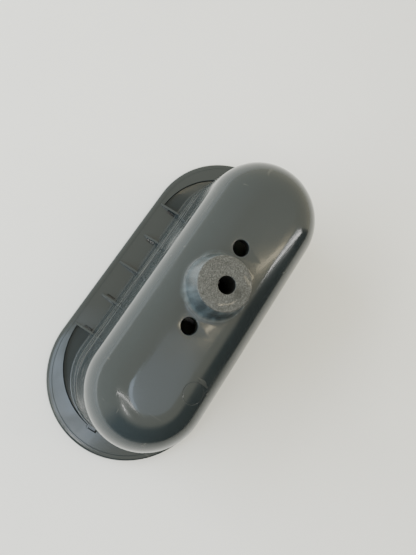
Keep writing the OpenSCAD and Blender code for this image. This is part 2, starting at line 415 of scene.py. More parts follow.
class Board:
    """The node tree of one material, with short calls that add its nodes."""

    def __init__(self, name: str) -> None:
        """Starts a material that has only its shader.

        Args:
            name: Name of the material.
        """
        self.material = bpy.data.materials.new(name)
        self.material.use_nodes = True
        self.nodes = self.material.node_tree.nodes
        self.links = self.material.node_tree.links
        self.shader = self.nodes["Principled BSDF"]
        self.object_place = self.nodes.new("ShaderNodeTexCoord").outputs["Object"]
        parts = self.nodes.new("ShaderNodeSeparateXYZ")
        self.links.new(self.object_place, parts.inputs[0])
        self.x, self.y, self.z = parts.outputs

    def fix(self, **values: Any) -> None:
        """Sets sockets of the shader that are the same all over; _ stands for a space."""
        for socket, value in values.items():
            self.shader.inputs[socket.replace("_", " ")].default_value = value

    def feed(self, socket: str, source: bpy.types.NodeSocket) -> None:
        """Links a source to one of the shader's sockets."""
        self.links.new(source, self.shader.inputs[socket])

    def noise(
        self,
        scale: float,
        detail: float = 3.0,
        stretch: tuple[float, float, float] = (1, 1, 1),
        turn: float = 0.0,
        warp: float = 0.0,
    ) -> bpy.types.NodeSocket:
        """Adds a noise pattern in the part's own frame.

        Args:
            scale: Waves per metre.
            detail: Number of finer layers.
            stretch: Scale along each axis, on top of scale.
            turn: Angle of the stretch round Z, in degrees.
            warp: How far the pattern is distorted.

        Returns:
            The pattern's value.
        """
        mapping = self.nodes.new("ShaderNodeMapping")
        mapping.inputs["Scale"].default_value = stretch
        mapping.inputs["Rotation"].default_value = (0, 0, math.radians(turn))
        texture = self.nodes.new("ShaderNodeTexNoise")
        texture.inputs["Scale"].default_value = scale
        texture.inputs["Detail"].default_value = detail
        texture.inputs["Distortion"].default_value = warp
        self.links.new(self.object_place, mapping.inputs["Vector"])
        self.links.new(mapping.outputs[0], texture.inputs["Vector"])
        return texture.outputs["Fac"]

    def distance(self, middle: Vector) -> bpy.types.NodeSocket:
        """Adds the distance in plan from an upright axis.

        Args:
            middle: A point on the axis.

        Returns:
            The distance, in metres.
        """
        across = self.work("SUBTRACT", self.x, middle.x)
        along = self.work("SUBTRACT", self.y, middle.y)
        across_squared = self.work("MULTIPLY", across, across)
        along_squared = self.work("MULTIPLY", along, along)
        return self.work("SQRT", self.work("ADD", across_squared, along_squared))

    def spread(
        self, source: bpy.types.NodeSocket, low: float, high: float, start: float = 0.0, end: float = 1.0
    ) -> bpy.types.NodeSocket:
        """Maps a value from low..high to start..end, with soft ends.

        Args:
            source: The value.
            low: Source value that gives start.
            high: Source value that gives end.
            start: Result at low.
            end: Result at high.

        Returns:
            The mapped value.
        """
        node = self.nodes.new("ShaderNodeMapRange")
        node.interpolation_type = "SMOOTHSTEP"
        for socket, value in zip(node.inputs[1:5], (low, high, start, end)):
            socket.default_value = value
        self.links.new(source, node.inputs[0])
        return node.outputs[0]

    def work(self, kind: str, *values: bpy.types.NodeSocket | float) -> bpy.types.NodeSocket:
        """Adds a maths node.

        Args:
            kind: The operation, as Blender names it.
            *values: Its inputs, each a socket or a number.

        Returns:
            The result.
        """
        node = self.nodes.new("ShaderNodeMath")
        node.operation = kind
        for socket, value in zip(node.inputs, values):
            if isinstance(value, bpy.types.NodeSocket):
                self.links.new(value, socket)
            else:
                socket.default_value = value
        return node.outputs[0]

    def blend(
        self,
        amount: bpy.types.NodeSocket,
        first: Sequence[float] | bpy.types.NodeSocket,
        second: Sequence[float] | bpy.types.NodeSocket,
    ) -> bpy.types.NodeSocket:
        """Mixes two colours.

        Args:
            amount: Share of the second.
            first: A colour or a socket that gives one.
            second: A colour or a socket that gives one.

        Returns:
            The mixed colour.
        """
        node = self.nodes.new("ShaderNodeMix")
        node.data_type = "RGBA"
        self.links.new(amount, node.inputs["Factor"])
        for socket, value in ((node.inputs[6], first), (node.inputs[7], second)):
            if isinstance(value, bpy.types.NodeSocket):
                self.links.new(value, socket)
            else:
                socket.default_value = (*value, 1)
        return node.outputs[2]

    def bump(self, height: bpy.types.NodeSocket, depth: float, strength: float = 1.0) -> None:
        """Adds relief to the surface, over any that is there.

        Args:
            height: The relief's value.
            depth: What a value of 1 stands for, in metres.
            strength: Share of the relief that shows.
        """
        node = self.nodes.new("ShaderNodeBump")
        node.inputs["Distance"].default_value = depth
        node.inputs["Strength"].default_value = strength
        self.links.new(height, node.inputs["Height"])
        normal = self.shader.inputs["Normal"]
        if normal.is_linked:
            self.links.new(normal.links[0].from_socket, node.inputs["Normal"])
        self.links.new(node.outputs[0], normal)


@dataclass(frozen=True)
class GlossMoulding:
    """Glossy pigmented moulding plastic, handled and scuffed, with an eroded boss face, a painted highlight
    on the boss's flank and painted shade down its holes.

    Attributes:
        pigment: Colour of the plastic.
        dust: Colour of the dust in its scuffs.
        face_z: Height of the eroded boss face.
        foot_z: Height of the flange's upper side.
        wall_top_z: Height at which the walls begin to round over.
        boss: Middle of the boss, at the height of the closed face.
        boss_r: Radius of the boss's blend.
        holes: Middle, radius and surface height of each of the three holes, whose walls are darkened as
            painted shade.
        gate: Middle of the gate's blush on the boss face.
    """

    pigment: tuple[float, float, float]
    dust: tuple[float, float, float]
    face_z: float
    foot_z: float
    wall_top_z: float
    boss: Vector
    boss_r: float
    holes: tuple[tuple[Vector, float, float], ...]
    gate: Vector

    def material(self) -> bpy.types.Material:
        """Builds the finish.

        Returns:
            The material.
        """
        board = Board("moulded_gloss_plastic")
        board.fix(IOR=1.48, Specular_IOR_Level=0.5, Coat_Weight=0.2, Coat_Roughness=0.05)
        face = board.spread(board.z, self.face_z - 0.5 * MM, self.face_z - 0.1 * MM)
        flank = self._flank(board)
        hole_shade = self._painted_hole_shade(board)
        rubbed = self._rubbed(board)
        smears = board.spread(board.noise(38, 4, (1, 1.6, 1), 25, 0.6), 0.45, 0.75)
        scratches = board.spread(board.noise(260, 2, (0.05, 1, 1), -38, 0.15), 0.69, 0.74)
        crossed = board.spread(board.noise(310, 2, (1, 0.06, 1), 17, 0.1), 0.70, 0.75)
        marks = board.work("MAXIMUM", scratches, crossed)
        grain = board.noise(3400, 5, (1, 1, 1), 0, 1.2)
        speckle = board.spread(grain, 0.42, 0.66)
        tint = board.blend(board.spread(board.noise(22, 3), 0.3, 0.7), self.pigment, self._paler(1.15))
        dusty = board.blend(board.work("MULTIPLY", rubbed, 0.42), tint, self.dust)
        marked = board.blend(board.work("MULTIPLY", marks, 0.12), dusty, self.dust)
        # Painted highlight: the boss's flank is paled to 1.4–3.4 times the pigment, in fine streaks, for
        # the light that it catches.
        streaks = board.spread(board.noise(420, 4, (1, 1, 0.2)), 0.35, 0.7)
        painted_flank_highlight = board.blend(streaks, self._paler(1.4), self._paler(3.4))
        sided = board.blend(flank, marked, painted_flank_highlight)
        blush = board.spread(board.distance(self.gate), 3.4 * MM, 0.6 * MM)
        patchy = board.work("MULTIPLY", blush, board.spread(board.noise(900, 3), 0.35, 0.6))
        grey = board.blend(speckle, (0.020, 0.022, 0.022), (0.115, 0.118, 0.115))
        eroded = board.blend(patchy, grey, (0.028, 0.030, 0.028))
        faced = board.blend(face, sided, eroded)
        # Painted shade: the walls down the lever bore and the handle holes are darkened to 0.12 of the
        # pigment.
        board.feed("Base Color", board.blend(hole_shade, faced, self._paler(0.12)))
        haze = board.spread(smears, 0, 1, 0.14, 0.27)
        worn = board.work("ADD", haze, board.work("MULTIPLY", rubbed, 0.30))
        worn = board.work("ADD", worn, board.work("MULTIPLY", marks, 0.12))
        worn = board.work("ADD", worn, board.work("MULTIPLY", flank, 0.20))
        worn = board.work("ADD", worn, board.work("MULTIPLY", face, 0.14))
        board.feed("Roughness", board.work("ADD", worn, board.work("MULTIPLY", hole_shade, 0.6)))
        board.bump(board.noise(150, 2), 0.035 * MM, 0.35)
        board.bump(board.work("MULTIPLY", grain, board.work("MAXIMUM", face, flank)), 0.14 * MM, 0.8)
        board.bump(board.work("MULTIPLY", marks, -1), 0.01 * MM, 0.5)
        return board.material

    def _flank(self, board: Board) -> bpy.types.NodeSocket:
        """Adds where the surface is the boss's flank, which is paled as a painted highlight.

        Args:
            board: The material's board.

        Returns:
            The share of it, from 0 to 1.
        """
        near = board.spread(board.distance(self.boss), self.boss_r + 0.6 * MM, self.boss_r - 0.6 * MM)
        above = board.spread(board.z, self.boss.z - 1.5 * MM, self.boss.z + 0.8 * MM)
        return board.work("MULTIPLY", near, above)

    def _painted_hole_shade(self, board: Board) -> bpy.types.NodeSocket:
        """Adds the walls inside the lever bore and the handle holes, which are darkened as painted shade.

        Args:
            board: The material's board.

        Returns:
            Where the surface is such a wall, from 0 to 1.
        """
        walls = []
        for middle, radius, surface_z in self.holes:
            near = board.spread(board.distance(middle), radius + 0.4 * MM, radius + 0.2 * MM)
            below = board.spread(board.z, surface_z - 0.2 * MM, surface_z - 0.6 * MM)
            walls.append(board.work("MULTIPLY", near, below))
        return board.work("MAXIMUM", walls[0], board.work("MAXIMUM", walls[1], walls[2]))

    def _paler(self, share: float) -> tuple[float, float, float]:
        """Returns the pigment, brighter by a share."""
        return tuple(channel * share for channel in self.pigment)

    def _rubbed(self, board: Board) -> bpy.types.NodeSocket:
        """Adds the band of scuffs that runs along the lower walls.

        Args:
            board: The material's board.

        Returns:
            How scuffed the surface is, from 0 to 1.
        """
        above = board.spread(board.z, self.foot_z + 4 * MM, self.foot_z + 11 * MM)
        below = board.spread(board.z, self.wall_top_z - 12 * MM, self.wall_top_z - 22 * MM)
        streaks = board.spread(board.noise(90, 6, (0.35, 0.35, 5), 0, 0.6), 0.40, 0.70)
        return board.work("MULTIPLY", board.work("MULTIPLY", above, below), streaks)


@dataclass(frozen=True)
class SoftRubber:
    """Black rubber with a bloom of fine dust.

    Attributes:
        name: Name of the material.
        colour: Colour of the rubber.
        sheen: How much of the bloom shows at a grazing angle.
    """

    name: str
    colour: tuple[float, float, float]
    sheen: float

    def material(self) -> bpy.types.Material:
        """Builds the finish.

        Returns:
            The material.
        """
        board = Board(self.name)
        board.fix(IOR=1.5, Sheen_Weight=self.sheen, Sheen_Roughness=0.5)
        bloom = board.spread(board.noise(70, 5, (1, 1, 1), 0, 0.5), 0.45, 0.8)
        pale = tuple(channel * 2.6 for channel in self.colour)
        board.feed("Base Color", board.blend(bloom, self.colour, pale))
        board.feed("Roughness", board.spread(bloom, 0, 1, 0.52, 0.78))
        board.bump(board.noise(1300, 3), 0.03 * MM, 0.5)
        return board.material


@dataclass(frozen=True)
class MattePlastic:
    """Plain moulding plastic with a fine spark-eroded texture.

    Attributes:
        name: Name of the material.
        colour: Colour of the plastic.
        rough: Mean roughness.
    """

    name: str
    colour: tuple[float, float, float]
    rough: float

    def material(self) -> bpy.types.Material:
        """Builds the finish.

        Returns:
            The material.
        """
        board = Board(self.name)
        board.fix(IOR=1.5)
        cloud = board.spread(board.noise(60, 4), 0.3, 0.7)
        darker = tuple(channel * 0.86 for channel in self.colour)
        board.feed("Base Color", board.blend(cloud, self.colour, darker))
        board.feed("Roughness", board.spread(cloud, 0, 1, self.rough - 0.06, self.rough + 0.06))
        board.bump(board.noise(1700, 2), 0.03 * MM, 0.6)
        return board.material


@dataclass(frozen=True)
class TurnedSteel:
    """Steel with turning lines round an upright axis, plated or blackened.

    Attributes:
        name: Name of the material.
        colour: Colour of the surface.
        rough: Mean roughness.
        axis: A point on the axis that it was turned on.
    """

    name: str
    colour: tuple[float, float, float]
    rough: float
    axis: Vector

    def material(self) -> bpy.types.Material:
        """Builds the finish.

        Returns:
            The material.
        """
        board = Board(self.name)
        board.fix(Metallic=1.0)
        out = board.distance(self.axis)
        lines = board.work("SINE", board.work("MULTIPLY", board.work("ADD", out, board.z), 24000.0))
        cloud = board.spread(board.noise(180, 4), 0.35, 0.7)
        darker = tuple(channel * 0.78 for channel in self.colour)
        board.feed("Base Color", board.blend(cloud, self.colour, darker))
        board.feed("Roughness", board.spread(cloud, 0, 1, self.rough, self.rough + 0.14))
        board.bump(lines, 0.004 * MM, 0.4)
        return board.material


@dataclass(frozen=True)
class TableTop:
    """Pale painted table top with the faintest smears."""

    colour: tuple[float, float, float] = (0.88, 0.88, 0.87)

    def material(self) -> bpy.types.Material:
        """Builds the finish.

        Returns:
            The material.
        """
        board = Board("pale_table_top")
        cloud = board.spread(board.noise(9, 4, (1, 1, 1), 0, 0.4), 0.3, 0.75)
        darker = tuple(channel * 0.965 for channel in self.colour)
        board.feed("Base Color", board.blend(cloud, self.colour, darker))
        board.feed("Roughness", board.spread(cloud, 0, 1, 0.42, 0.55))
        return board.material


@dataclass(frozen=True)
class ScreenCloth:
    """Dark cloth that thins out towards its top and its two ends.

    Attributes:
        top: Height at which it ends.
        far_x: X of the end that lies towards +X.
        far_y: Y of the end that lies towards +Y.
    """

    top: float
    far_x: float
    far_y: float

    def material(self) -> bpy.types.Material:
        """Builds the finish.

        Returns:
            The material.
        """
        board = Board("dark_screen_cloth")
        weave = board.noise(160, 3, (1, 1, 4))
        board.feed("Base Color", board.blend(weave, (0.03, 0.034, 0.036), (0.06, 0.065, 0.07)))
        board.feed("Roughness", board.spread(weave, 0.3, 0.7, 0.75, 0.9))
        upper = board.spread(board.z, self.top, 0.6 * self.top)
        left = board.spread(board.y, self.far_y, 0.1 * self.far_y)
        right = board.spread(board.x, self.far_x, 0.8 * self.far_x)
        board.feed("Alpha", board.work("MULTIPLY", upper, board.work("MULTIPLY", left, right)))
        return board.material


def dress(piece: bpy.types.Object, finish: bpy.types.Material) -> None:
    """Gives a piece one finish all over."""
    piece.data.materials.clear()
    piece.data.materials.append(finish)


def install(piece: bpy.types.Object, node: str, body: str) -> None:
    """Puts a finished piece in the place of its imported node.

    Args:
        piece: The new piece.
        node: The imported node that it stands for.
        body: The body that it moves with.
    """
    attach(piece, body)
    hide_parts(node)
    LOG.info("%s: %d faces", piece.name, len(piece.data.polygons))


# ---------------------------------------------------------------- sub-assemblies


@dataclass
class Housing:
    """The moulded shell: cup, flange, ribs, boss and the sockets inside it.

    Attributes:
        low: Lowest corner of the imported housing.
        high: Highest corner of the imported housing.
        bore: Middle of the lever bore.
        bore_r: Radius of the lever bore.
        holes: Middle of the two handle holes, on the closed face.
        hole_r: Radius of a handle hole.
        hole_pitch: Distance between the handle holes.
    """

    low: Vector
    high: Vector
    bore: Vector
    bore_r: float
    holes: Vector
    hole_r: float
    hole_pitch: float
    cup_s: float = 36 * MM
    cup_r: float = 20 * MM
    boss_h: float = 9.7 * MM
    round_r: float = 14 * MM
    draft_degrees: float = 3.3
    wall: float = 2.5 * MM
    face: float = 3 * MM
    flange_t: float = 4 * MM
    groove_in: float = 27.4 * MM
    groove_out: float = 31 * MM
    groove_top: float = 1.9 * MM
    pocket_s: float = 30 * MM
    pocket_r: float = 29.5 * MM
    pocket_depth: float = 1.4 * MM
    pocket_lip: float = 0.25 * MM
    rib_pitch: float = 15 * MM
    rib_t: float = 1 * MM
    rib_rise: float = 3 * MM
    rib_low: float = 0.3 * MM
    rib_sunk: float = 0.5 * MM
    long_rib_past: float = 1.5 * MM
    short_rib_back: float = 0.5 * MM
    end_rib_y: float = 3.6 * MM
    bead: float = 0.6 * MM
    slot_w: float = 1 * MM
    slot_l: float = 3.4 * MM
    slot_step: float = 0.9 * MM
    overlap: float = 0.03 * MM
    boss_base_r: float = 10.3 * MM
    boss_top_r: float = 8.9 * MM
    blend_r: float = 1.5 * MM
    socket_low: float = 37 * MM
    socket_r: float = 8.6 * MM
    socket_bore_r: float = 6.5 * MM
    post_low: float = 5.4 * MM
    post_h: float = 14 * MM
    post_r: float = 3.2 * MM
    pilot_r: float = 1.5 * MM
    pilot_l: float = 12 * MM
    post_y: float = 17.3 * MM
    post_xs: tuple[float, ...] = (-34 * MM, -12 * MM, 12 * MM, 34 * MM)

    def __post_init__(self) -> None:
        """Works out the heights and radii that follow from the driving ones."""
        self.draft = math.tan(math.radians(self.draft_degrees))
        self.top = self.high.z - self.boss_h
        self.border_z = self.low.z + self.flange_t
        self.floor_z = self.border_z - self.pocket_depth
        self.flange_r = self.high.y
        self.flange_s = self.high.x - self.flange_r
        self.foot_r = self.cup_r + self.draft * (self.top - self.floor_z)
        self.end_x = self.cup_s + self.foot_r + self.bead + self.slot_w
        self.flat_r = self.cup_r - self.round_r / math.tan(
            math.pi / 4 + math.radians(self.draft_degrees) / 2
        )

    def surface(self, x: float, y: float) -> float:
        """Works out the height of the cup's closed face over a place in plan.

        Args:
            x: The place along the foot.
            y: The place across it.

        Returns:
            The height.
        """
        out = math.hypot(max(abs(x) - self.cup_s, 0), y)
        if out <= self.flat_r:
            return self.top
        beyond = min(out - self.flat_r, self.round_r)
        return self.top - self.round_r + math.sqrt(self.round_r**2 - beyond**2)

    def build(self) -> bpy.types.Object:
        """Models the whole shell.

        Returns:
            The shell as one solid.
        """
        shell = self._shell()
        combine(shell, self._end_slots(), Join.CUT)
        combine(shell, self._pocket(), Join.CUT)
        combine(shell, self._ribs(), Join.ADD)
        combine(shell, self._boss(), Join.ADD)
        combine(shell, self._inner_bosses(), Join.ADD)
        combine(shell, self._side_slots(), Join.CUT)
        combine(shell, self._outer_bores(), Join.CUT)
        combine(shell, self._bush_bore(), Join.CUT)
        combine(shell, self._witness_marks(), Join.CUT)
        shell.name = "moulded_housing"
        shell.data.name = shell.name
        smooth(shell, 16)
        return shell

    def _shell(self) -> bpy.types.Object:
        """Sweeps the wall's section: closed face, wall, flange, seal groove and inside.

        Returns:
            The shell, without pockets, ribs, boss or holes.
        """
        bead_top = self.border_z + self.bead
        bead_r = self.foot_r + self.bead
        line_r = self.flange_r - 2.1 * MM
        line_half, line_depth = 0.12 * MM, 0.06 * MM
        inner_top = self.top - self.face
        inner_r = self.cup_r - self.wall
        mouth_r = inner_r + self.draft * (inner_top - self.low.z)
        corners = [
            Corner(0, self.top),
            Corner(self.cup_r, self.top, self.round_r),
            Corner(self.cup_r + self.draft * (self.top - bead_top), bead_top, 0.35 * MM),
            Corner(bead_r, bead_top, 0.15 * MM),
            Corner(bead_r, self.border_z, 0.1 * MM),
            Corner(line_r - line_half, self.border_z),
            Corner(line_r, self.border_z - line_depth, 0.05 * MM),
            Corner(line_r + line_half, self.border_z),
            Corner(self.flange_r, self.border_z, 1.0 * MM),
            Corner(self.flange_r, self.low.z, 0.35 * MM),
            Corner(self.groove_out, self.low.z, 0.1 * MM),
            Corner(self.groove_out, self.groove_top),
            Corner(self.groove_in, self.groove_top),
            Corner(self.groove_in, self.low.z, 0.1 * MM),
            Corner(mouth_r, self.low.z, 0.4 * MM),
            Corner(inner_r, inner_top, self.round_r - self.wall),
            Corner(0, inner_top),
        ]
        section = rounded(corners, 3.5)
        edge = bead_r + 0.3 * MM
        return Stadium(self.cup_s).sweep(
            "shell", section, shifted=lambda out, _: out > edge, shift=self.cup_s - self.flange_s
        )

    def _pocket(self) -> bpy.types.Object:
        """Makes the cutter of the pockets round the ends of the flange.

        Returns:
            The cutter of both pockets.
        """
        lip = self.pocket_lip
        over = self.border_z + 0.4 * MM
        outline = rounded(
            [
                Corner(0, self.floor_z),
                Corner(self.foot_r + self.bead, self.floor_z, 4 * MM),
                Corner(self.pocket_r, self.border_z - 3.6 * lip, 0.15 * MM),
                Corner(self.pocket_r, self.border_z - lip),
                Corner(self.pocket_r + 0.07 * MM, self.border_z - 0.4 * lip),
                Corner(self.pocket_r + lip, self.border_z),
                Corner(self.pocket_r + lip, over),
                Corner(0, over),
            ]
        )
        cutter = Stadium(self.pocket_s).sweep("pocket_cutter", outline)
        reach = 2 * self.rib_pitch + 0.4 * self.rib_t
        middle = Vector((reach, self.flange_r, 2 * self.border_z))
        combine(cutter, block("middle", -middle, middle, 0.1 * MM), Join.CUT)
        core_r = self.foot_r + self.bead
        core = [Vector((0, 0)), Vector((core_r, 0)), Vector((core_r, 2 * over)), Vector((0, 2 * over))]
        combine(cutter, Stadium(self.cup_s).sweep("core", core), Join.CUT)
        return cutter

    def _rib(self, name: str, out_y: float) -> bpy.types.Object:
        """Makes one gusset rib in the middle of the +Y side.

        Args:
            name: Name of the rib.
            out_y: Where the rib ends towards the flange's edge.

        Returns:
            The rib.
        """
        root_y = self.foot_r - self.wall / 2
        low_z = self.floor_z - self.rib_sunk
        high_z = self.border_z + self.rib_rise
        corners = [
            Corner(root_y, low_z),
            Corner(out_y, low_z),
            Corner(out_y, self.border_z + self.rib_low, 0.25 * MM),
            Corner(self.foot_r, high_z, 0.4 * MM),
            Corner(root_y, high_z),
        ]
        points = [Vector((-self.rib_t / 2, point.x, point.y)) for point in rounded(corners, closed=True)]
        rib = draw_line(name, points, closed=True)
        with editing(rib):
            bpy.ops.mesh.select_all(action="SELECT")
            bpy.ops.mesh.edge_face_add()
            bpy.ops.mesh.extrude_region_move(TRANSFORM_OT_translate={"value": (self.rib_t, 0, 0)})
        close_up(rib)
        apply_modifier(
            rib, "BEVEL", width=0.18 * MM, segments=3, limit_method="ANGLE", angle_limit=math.radians(60)
        )
        return rib

    def _ribs(self) -> bpy.types.Object:
        """Places the gusset ribs along both sides, and one rib at each end.

        Returns:
            All the ribs as one object.
        """
        turned = Matrix.Rotation(HALF_TURN, 4, "Z")
        steps = range(-2, 3)

        def both_sides(wanted: int) -> list[Matrix]:
            """Returns the places of the ribs whose number is even or odd."""
            along = [Matrix.Translation((k * self.rib_pitch, 0, 0)) for k in steps if k % 2 == wanted]
            return along + [place @ turned for place in along]

        long_rib = self._rib("rib", self.pocket_r + self.long_rib_past)
        long_ribs = stamp("long_ribs", long_rib, both_sides(0))
        short_rib = self._rib("rib", self.pocket_r - self.short_rib_back)
        short_ribs = stamp("short_ribs", short_rib, both_sides(1))
        half, end_y = self.rib_t / 2, self.end_rib_y
        low = Vector((-self.end_x, end_y - half, self.floor_z - self.rib_sunk))
        inner_x = -self.cup_s - self.foot_r + self.wall / 2
        high = Vector((inner_x, end_y + half, self.border_z + self.rib_sunk))
        end_ribs = stamp("end_ribs", block("end_rib", low, high, 0.15 * MM), [Matrix(), turned])
        return merge_pieces("ribs", [long_ribs, short_ribs, end_ribs])

    def _boss(self) -> bpy.types.Object:
        """Makes the conical boss, whose foot follows the closed face in a soft blend.

        Returns:
            The boss.
        """
        lean = (self.boss_base_r - self.boss_top_r) / self.boss_h
        section = rounded(
            [
                Corner(0, self.high.z),
                Corner(self.boss_top_r, self.high.z, 0.45 * MM),
                Corner(self.boss_base_r - lean * self.blend_r, self.top + self.blend_r),
            ],
            18,
        )
        blend_steps = 10
        for k in range(1, blend_steps + 1):
            t = k / blend_steps
            out = self.boss_base_r + self.blend_r * (t**2) - lean * self.blend_r * (1 - t) ** 2
            sunk = 0.03 * MM * t
            section.append(Vector((out, self.top + self.blend_r * (1 - t) ** 2 - sunk)))
        section.append(Vector((self.boss_base_r + self.blend_r - 0.4 * MM, self.top - 1.2 * MM)))
        section.append(Vector((0, self.top - 1.2 * MM)))
        centre = Vector((self.holes.x, self.holes.y, 0))
        boss = lathe("boss", section, centre, 96)
        for vertex in boss.data.vertices:
            if vertex.co.z > self.top + self.blend_r + WELD:
                continue
            outward = Vector((vertex.co.x - centre.x, vertex.co.y - centre.y, 0))
            drop = self.top - self.surface(vertex.co.x, vertex.co.y)
            if outward.length > WELD:
                vertex.co += outward.normalized() * lean * drop
            vertex.co.z += self.surface(vertex.co.x, vertex.co.y) - self.top
        return boss

    def _inner_bosses(self) -> bpy.types.Object:
        """Makes the bush's socket and the screw posts, which stand inside the cup.

        Returns:
            The socket and posts as one object.
        """
        roof = self.top - self.face / 2
        edge = 0.4 * MM
        socket = lathe(
            "socket",
            rounded([Corner(0, self.socket_low), Corner(self.socket_r, self.socket_low, edge),
                     Corner(self.socket_r, roof), Corner(0, roof)]),
            Vector((self.bore.x, self.bore.y, 0)),
            64,
        )
        top = self.post_low + self.post_h
        post = lathe(
            "post",
            rounded([Corner(0, self.post_low), Corner(self.post_r, self.post_low, 0.2 * MM),
                     Corner(self.post_r, top, edge), Corner(0, top)]),
            Vector((0, 0, 0)),
            32,
        )
        return merge_pieces("inner_bosses", [socket, stamp("posts", post, self.post_places())])

    def post_places(self) -> list[Matrix]:
        """Returns the places of the eight screw posts."""
        return [Matrix.Translation((x, y, 0)) for x in self.post_xs for y in (-self.post_y, self.post_y)]

    def _side_slots(self) -> bpy.types.Object:
        """Makes the cutters of the blind slots beside the ribs of both sides.

        Returns:
            The cutters as one object.
        """
        start_y = self.foot_r + self.bead
        half = self.slot_w / 2 + self.overlap
        cutters = []
        for number in (-2, -1, 1, 2):
            middle = number * self.rib_pitch - math.copysign((self.rib_t + self.slot_w) / 2, number)
            low = Vector((middle - half, start_y, self.border_z - abs(number) * self.slot_step))
            high = Vector((middle + half, start_y + self.slot_l, self.border_z + 2 * self.bead))
            cutters.append(block("slot", low, high, 0.12 * MM))
        side = merge_pieces("side_slots", cutters)
        return stamp("side_slots", side, [Matrix(), Matrix.Rotation(HALF_TURN, 4, "Z")])

    def _end_slots(self) -> bpy.types.Object:
        """Makes the cutters of the blind slots beside the two end ribs.

        Returns:
            The cutters as one object.
        """
        inner_x = -self.cup_s - self.foot_r - self.bead + self.slot_w / 4
        low = Vector((-self.end_x + self.overlap, -self.rib_t / 2, self.floor_z - self.slot_step))
        side_y = self.end_rib_y - self.rib_t / 2 + self.overlap
        high = Vector((inner_x, side_y, self.border_z + self.slot_step))
        end = block("end_slot", low, high, 0.1 * MM)
        return stamp("end_slots", end, [Matrix(), Matrix.Rotation(HALF_TURN, 4, "Z")])

    def _outer_bores(self) -> bpy.types.Object:
        """Makes the cutters of the lever bore, the handle holes and the screws' pilot holes.

        Returns:
            The cutters as one object.
        """
        inner_top = self.top - self.face
        lever = self._flared("lever_bore", self.bore_r, inner_top - 0.5 * MM, self.high.z, 0.2 * MM)
        lever.data.transform(Matrix.Translation((self.bore.x, self.bore.y, 0)))
        handle = self._flared("handle_hole", self.hole_r, inner_top - 1 * MM, self.top, 0.3 * MM)
        places = [
            Matrix.Translation((self.holes.x + side * self.hole_pitch / 2, self.holes.y, 0))
            for side in (-1, 1)
        ]
        handles = stamp("handle_holes", handle, places)
        end = self.post_low + self.pilot_l
        low = self.post_low - 1 * MM
        pilot = lathe(
            "pilot",
            [Vector((0, low)), Vector((self.pilot_r, low)), Vector((self.pilot_r, end)),
             Vector((0, end + 1 * MM))],
            Vector((0, 0, 0)),
            24,
        )
        return merge_pieces("outer_bores", [lever, handles, stamp("pilots", pilot, self.post_places())])

    def _bush_bore(self) -> bpy.types.Object:
        """Makes the cutter of the bore that the bush sits in.

        Returns:
            The cutter.
        """
        low, high = self.socket_low - 1 * MM, self.top - self.face + 0.05 * MM
        section = [Vector((0, low)), Vector((self.socket_bore_r, low)), Vector((self.socket_bore_r, high)),
                   Vector((0, high))]
        return lathe("bush_bore", section, Vector((self.bore.x, self.bore.y, 0)), 64)

    def _flared(self, name: str, radius: float, low: float, high: float, flare: float) -> bpy.types.Object:
        """Makes a hole's cutter that leaves a rounded edge at its upper end.

        Args:
            name: Name of the cutter.
            radius: Radius of the hole.
            low: Where the cutter begins.
            high: Height of the surface that it leaves.
            flare: Radius of the hole's edge.

        Returns:
            The cutter, round the Z axis.
        """
        section = [Vector((0, low)), Vector((radius, low))]
        steps = 8
        for k in range(steps + 1):
            turn = math.pi / 2 * k / steps
            out = radius + flare * (1 - math.cos(turn))
            section.append(Vector((out, high - flare * (1 - math.sin(turn)))))
        section.append(Vector((radius + flare, high + 1 * MM)))
        section.append(Vector((0, high + 1 * MM)))
        return lathe(name, section, Vector((0, 0, 0)), 64)

    def _witness_marks(self) -> bpy.types.Object:
        """Makes the cutters of the fine ring on the closed face and of the gate scar on the boss.

        Returns:
            The cutters as one object.
        """
        hair = 0.11 * MM
        ring = self._ring("ring_mark", 3.65 * MM, hair)
        at = Vector((self.holes.x - 32.3 * MM, self.holes.y - 13.2 * MM, 0))
        for vertex in ring.data.vertices:
            vertex.co += at
            vertex.co.z += self.surface(vertex.co.x, vertex.co.y) + 0.3 * hair
        scar = self._ring("gate_scar", 1.1 * MM, 1.7 * hair)
        scar_at = Vector((self.bore.x - 0.5 * MM, self.bore.y - 4.6 * MM, self.high.z + 0.5 * hair))
        scar.data.transform(Matrix.Translation(scar_at))
        dot = self._ring("gate_dot", 0.35 * MM, 2 * hair)
        dot_at = Vector((self.bore.x - 0.4 * MM, self.bore.y - 4.4 * MM, self.high.z + hair))
        dot.data.transform(Matrix.Translation(dot_at))
        return merge_pieces("witness_marks", [ring, scar, dot])

    def _ring(self, name: str, radius: float, thickness: float) -> bpy.types.Object:
        """Makes a thin ring that lies flat at the origin.

        Args:
            name: Name of the ring.
            radius: Radius of its middle line.
            thickness: Radius of its wire.

        Returns:
            The ring.
        """
        bpy.ops.object.select_all(action="DESELECT")
        bpy.ops.mesh.primitive_torus_add(
            major_radius=radius, minor_radius=thickness, major_segments=72, minor_segments=8
        )
        ring = bpy.context.object
        ring.name = name
        return ring


@dataclass
class RimSeal:
    """The soft ring in the flange's groove, with two lips.

    Attributes:
        low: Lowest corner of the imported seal.
        high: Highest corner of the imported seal.
    """

    low: Vector
    high: Vector
    width: float = 3.6 * MM
    lip: float = 1.2 * MM
    lip_depth: float = 0.5 * MM

    def build(self) -> bpy.types.Object:
        """Models the seal.

        Returns:
            The seal.
        """
        out_r = self.high.y
        in_r = out_r - self.width
        valley_z = self.low.z + self.lip_depth
        soft = 0.22 * MM
        corners = [
            Corner(in_r, self.low.z, soft),
            Corner(in_r + self.lip, self.low.z, soft),
            Corner(in_r + self.lip, valley_z, soft),
            Corner(out_r - self.lip, valley_z, soft),
            Corner(out_r - self.lip, self.low.z, soft),
            Corner(out_r, self.low.z, soft),
            Corner(out_r, self.high.z, soft),
            Corner(in_r, self.high.z, soft),
        ]
        section = rounded(corners, closed=True)
        seal = Stadium(self.high.x - out_r, 56, 10).sweep("rim_seal_ring", section, closed=True)
        smooth(seal)
        return seal


